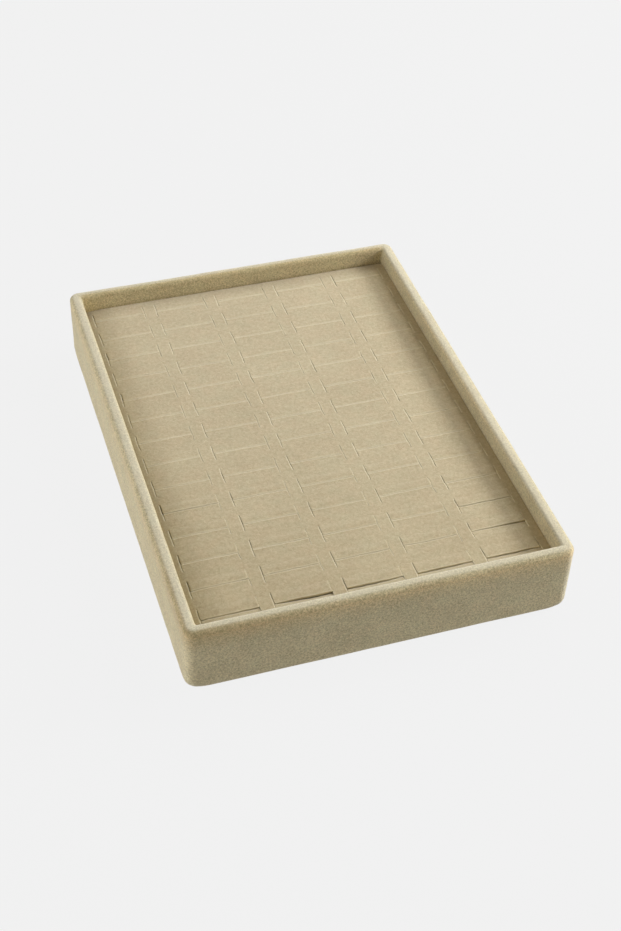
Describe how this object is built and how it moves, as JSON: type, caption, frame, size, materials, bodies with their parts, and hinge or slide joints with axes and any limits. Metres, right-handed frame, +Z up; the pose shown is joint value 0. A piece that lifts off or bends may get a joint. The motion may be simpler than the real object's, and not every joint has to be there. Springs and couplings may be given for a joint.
{
  "type": "ring tray",
  "caption": "Velvet-covered ring display tray with a raised rim and a lift-out pad of slots whose hinged lips fold down to grip ring shanks.",
  "frame": {"origin": "middle of the underside, on the surface that the tray stands on", "axes": "+Z up, +Y towards the back along the tray's length, +X to the right across its width"},
  "size_m": [0.181, 0.25, 0.0369],
  "materials": {
    "velvet": "matte",
    "pad_velvet": "matte",
    "lining": "matte",
    "felt": "matte",
    "fibreboard": "matte",
    "greyboard": "matte",
    "foam": "matte"
  },
  "bodies": {
    "tray": {"base_board": "fibreboard", "front_wall": "fibreboard", "back_wall": "fibreboard", "left_wall": "fibreboard", "right_wall": "fibreboard", "wall_velvet": "velvet", "underside_cover": "felt", "floor_lining": "lining"},
    "insert": {"insert_board": "greyboard", "cross_bar_01": "foam", "cross_bar_02": "foam", "cross_bar_03": "foam", "cross_bar_04": "foam", "cross_bar_05": "foam", "cross_bar_06": "foam", "cross_bar_07": "foam", "cross_bar_08": "foam", "cross_bar_09": "foam", "cross_bar_10": "foam", "cross_bar_11": "foam", "cross_bar_12": "foam", "cross_bar_13": "foam", "cross_bar_14": "foam", "cross_bar_15": "foam", "left_rail": "foam", "right_rail": "foam", "slat_1": "foam", "slat_2": "foam", "slat_3": "foam", "slat_4": "foam", "slotted_sheet": "pad_velvet"},
    "row_01_rear_lips": {"row_01_rear_lips": "pad_velvet"},
    "row_01_front_lips": {"row_01_front_lips": "pad_velvet"},
    "row_02_rear_lips": {"row_02_rear_lips": "pad_velvet"},
    "row_02_front_lips": {"row_02_front_lips": "pad_velvet"},
    "row_03_rear_lips": {"row_03_rear_lips": "pad_velvet"},
    "row_03_front_lips": {"row_03_front_lips": "pad_velvet"},
    "row_04_rear_lips": {"row_04_rear_lips": "pad_velvet"},
    "row_04_front_lips": {"row_04_front_lips": "pad_velvet"},
    "row_05_rear_lips": {"row_05_rear_lips": "pad_velvet"},
    "row_05_front_lips": {"row_05_front_lips": "pad_velvet"},
    "row_06_rear_lips": {"row_06_rear_lips": "pad_velvet"},
    "row_06_front_lips": {"row_06_front_lips": "pad_velvet"},
    "row_07_rear_lips": {"row_07_rear_lips": "pad_velvet"},
    "row_07_front_lips": {"row_07_front_lips": "pad_velvet"},
    "row_08_rear_lips": {"row_08_rear_lips": "pad_velvet"},
    "row_08_front_lips": {"row_08_front_lips": "pad_velvet"},
    "row_09_rear_lips": {"row_09_rear_lips": "pad_velvet"},
    "row_09_front_lips": {"row_09_front_lips": "pad_velvet"},
    "row_10_rear_lips": {"row_10_rear_lips": "pad_velvet"},
    "row_10_front_lips": {"row_10_front_lips": "pad_velvet"},
    "row_11_rear_lips": {"row_11_rear_lips": "pad_velvet"},
    "row_11_front_lips": {"row_11_front_lips": "pad_velvet"},
    "row_12_rear_lips": {"row_12_rear_lips": "pad_velvet"},
    "row_12_front_lips": {"row_12_front_lips": "pad_velvet"},
    "row_13_rear_lips": {"row_13_rear_lips": "pad_velvet"},
    "row_13_front_lips": {"row_13_front_lips": "pad_velvet"},
    "row_14_rear_lips": {"row_14_rear_lips": "pad_velvet"},
    "row_14_front_lips": {"row_14_front_lips": "pad_velvet"}
  },
  "joints": [
    {"name": "insert_lift", "type": "slide", "parent": "tray", "child": "insert", "axis": [0, 0, 1], "range_m": [0, 0.04]},
    {"name": "row_01_rear_fold", "type": "hinge", "parent": "insert", "child": "row_01_rear_lips", "pos_m": [0, 0.1148, 0.0276], "axis": [1, 0, 0], "range_deg": [0, 55], "stiffness_Nm_per_rad": 0.01},
    {"name": "row_01_front_fold", "type": "hinge", "parent": "insert", "child": "row_01_front_lips", "pos_m": [0, 0.1038, 0.0276], "axis": [-1, 0, 0], "range_deg": [0, 55], "stiffness_Nm_per_rad": 0.01},
    {"name": "row_02_rear_fold", "type": "hinge", "parent": "insert", "child": "row_02_rear_lips", "pos_m": [0, 0.09806, 0.0276], "axis": [1, 0, 0], "range_deg": [0, 55], "stiffness_Nm_per_rad": 0.01},
    {"name": "row_02_front_fold", "type": "hinge", "parent": "insert", "child": "row_02_front_lips", "pos_m": [0, 0.08706, 0.0276], "axis": [-1, 0, 0], "range_deg": [0, 55], "stiffness_Nm_per_rad": 0.01},
    {"name": "row_03_rear_fold", "type": "hinge", "parent": "insert", "child": "row_03_rear_lips", "pos_m": [0, 0.08132, 0.0276], "axis": [1, 0, 0], "range_deg": [0, 55], "stiffness_Nm_per_rad": 0.01},
    {"name": "row_03_front_fold", "type": "hinge", "parent": "insert", "child": "row_03_front_lips", "pos_m": [0, 0.07032, 0.0276], "axis": [-1, 0, 0], "range_deg": [0, 55], "stiffness_Nm_per_rad": 0.01},
    {"name": "row_04_rear_fold", "type": "hinge", "parent": "insert", "child": "row_04_rear_lips", "pos_m": [0, 0.06459, 0.0276], "axis": [1, 0, 0], "range_deg": [0, 55], "stiffness_Nm_per_rad": 0.01},
    {"name": "row_04_front_fold", "type": "hinge", "parent": "insert", "child": "row_04_front_lips", "pos_m": [0, 0.05359, 0.0276], "axis": [-1, 0, 0], "range_deg": [0, 55], "stiffness_Nm_per_rad": 0.01},
    {"name": "row_05_rear_fold", "type": "hinge", "parent": "insert", "child": "row_05_rear_lips", "pos_m": [0, 0.04785, 0.0276], "axis": [1, 0, 0], "range_deg": [0, 55], "stiffness_Nm_per_rad": 0.01},
    {"name": "row_05_front_fold", "type": "hinge", "parent": "insert", "child": "row_05_front_lips", "pos_m": [0, 0.03685, 0.0276], "axis": [-1, 0, 0], "range_deg": [0, 55], "stiffness_Nm_per_rad": 0.01},
    {"name": "row_06_rear_fold", "type": "hinge", "parent": "insert", "child": "row_06_rear_lips", "pos_m": [0, 0.03111, 0.0276], "axis": [1, 0, 0], "range_deg": [0, 55], "stiffness_Nm_per_rad": 0.01},
    {"name": "row_06_front_fold", "type": "hinge", "parent": "insert", "child": "row_06_front_lips", "pos_m": [0, 0.02011, 0.0276], "axis": [-1, 0, 0], "range_deg": [0, 55], "stiffness_Nm_per_rad": 0.01},
    {"name": "row_07_rear_fold", "type": "hinge", "parent": "insert", "child": "row_07_rear_lips", "pos_m": [0, 0.01437, 0.0276], "axis": [1, 0, 0], "range_deg": [0, 55], "stiffness_Nm_per_rad": 0.01},
    {"name": "row_07_front_fold", "type": "hinge", "parent": "insert", "child": "row_07_front_lips", "pos_m": [0, 0.00337, 0.0276], "axis": [-1, 0, 0], "range_deg": [0, 55], "stiffness_Nm_per_rad": 0.01},
    {"name": "row_08_rear_fold", "type": "hinge", "parent": "insert", "child": "row_08_rear_lips", "pos_m": [0, -0.00237, 0.0276], "axis": [1, 0, 0], "range_deg": [0, 55], "stiffness_Nm_per_rad": 0.01},
    {"name": "row_08_front_fold", "type": "hinge", "parent": "insert", "child": "row_08_front_lips", "pos_m": [0, -0.01337, 0.0276], "axis": [-1, 0, 0], "range_deg": [0, 55], "stiffness_Nm_per_rad": 0.01},
    {"name": "row_09_rear_fold", "type": "hinge", "parent": "insert", "child": "row_09_rear_lips", "pos_m": [0, -0.01911, 0.0276], "axis": [1, 0, 0], "range_deg": [0, 55], "stiffness_Nm_per_rad": 0.01},
    {"name": "row_09_front_fold", "type": "hinge", "parent": "insert", "child": "row_09_front_lips", "pos_m": [0, -0.03011, 0.0276], "axis": [-1, 0, 0], "range_deg": [0, 55], "stiffness_Nm_per_rad": 0.01},
    {"name": "row_10_rear_fold", "type": "hinge", "parent": "insert", "child": "row_10_rear_lips", "pos_m": [0, -0.03585, 0.0276], "axis": [1, 0, 0], "range_deg": [0, 55], "stiffness_Nm_per_rad": 0.01},
    {"name": "row_10_front_fold", "type": "hinge", "parent": "insert", "child": "row_10_front_lips", "pos_m": [0, -0.04685, 0.0276], "axis": [-1, 0, 0], "range_deg": [0, 55], "stiffness_Nm_per_rad": 0.01},
    {"name": "row_11_rear_fold", "type": "hinge", "parent": "insert", "child": "row_11_rear_lips", "pos_m": [0, -0.05258, 0.0276], "axis": [1, 0, 0], "range_deg": [0, 55], "stiffness_Nm_per_rad": 0.01},
    {"name": "row_11_front_fold", "type": "hinge", "parent": "insert", "child": "row_11_front_lips", "pos_m": [0, -0.06359, 0.0276], "axis": [-1, 0, 0], "range_deg": [0, 55], "stiffness_Nm_per_rad": 0.01},
    {"name": "row_12_rear_fold", "type": "hinge", "parent": "insert", "child": "row_12_rear_lips", "pos_m": [0, -0.06932, 0.0276], "axis": [1, 0, 0], "range_deg": [0, 55], "stiffness_Nm_per_rad": 0.01},
    {"name": "row_12_front_fold", "type": "hinge", "parent": "insert", "child": "row_12_front_lips", "pos_m": [0, -0.08032, 0.0276], "axis": [-1, 0, 0], "range_deg": [0, 55], "stiffness_Nm_per_rad": 0.01},
    {"name": "row_13_rear_fold", "type": "hinge", "parent": "insert", "child": "row_13_rear_lips", "pos_m": [0, -0.08606, 0.0276], "axis": [1, 0, 0], "range_deg": [0, 55], "stiffness_Nm_per_rad": 0.01},
    {"name": "row_13_front_fold", "type": "hinge", "parent": "insert", "child": "row_13_front_lips", "pos_m": [0, -0.09706, 0.0276], "axis": [-1, 0, 0], "range_deg": [0, 55], "stiffness_Nm_per_rad": 0.01},
    {"name": "row_14_rear_fold", "type": "hinge", "parent": "insert", "child": "row_14_rear_lips", "pos_m": [0, -0.1028, 0.0276], "axis": [1, 0, 0], "range_deg": [0, 55], "stiffness_Nm_per_rad": 0.01},
    {"name": "row_14_front_fold", "type": "hinge", "parent": "insert", "child": "row_14_front_lips", "pos_m": [0, -0.1138, 0.0276], "axis": [-1, 0, 0], "range_deg": [0, 55], "stiffness_Nm_per_rad": 0.01}
  ],
  "couplings": [
    {"joint": "row_01_front_fold", "follows": "row_01_rear_fold", "ratio": 1},
    {"joint": "row_02_front_fold", "follows": "row_02_rear_fold", "ratio": 1},
    {"joint": "row_03_front_fold", "follows": "row_03_rear_fold", "ratio": 1},
    {"joint": "row_04_front_fold", "follows": "row_04_rear_fold", "ratio": 1},
    {"joint": "row_05_front_fold", "follows": "row_05_rear_fold", "ratio": 1},
    {"joint": "row_06_front_fold", "follows": "row_06_rear_fold", "ratio": 1},
    {"joint": "row_07_front_fold", "follows": "row_07_rear_fold", "ratio": 1},
    {"joint": "row_08_front_fold", "follows": "row_08_rear_fold", "ratio": 1},
    {"joint": "row_09_front_fold", "follows": "row_09_rear_fold", "ratio": 1},
    {"joint": "row_10_front_fold", "follows": "row_10_rear_fold", "ratio": 1},
    {"joint": "row_11_front_fold", "follows": "row_11_rear_fold", "ratio": 1},
    {"joint": "row_12_front_fold", "follows": "row_12_rear_fold", "ratio": 1},
    {"joint": "row_13_front_fold", "follows": "row_13_rear_fold", "ratio": 1},
    {"joint": "row_14_front_fold", "follows": "row_14_rear_fold", "ratio": 1}
  ]
}
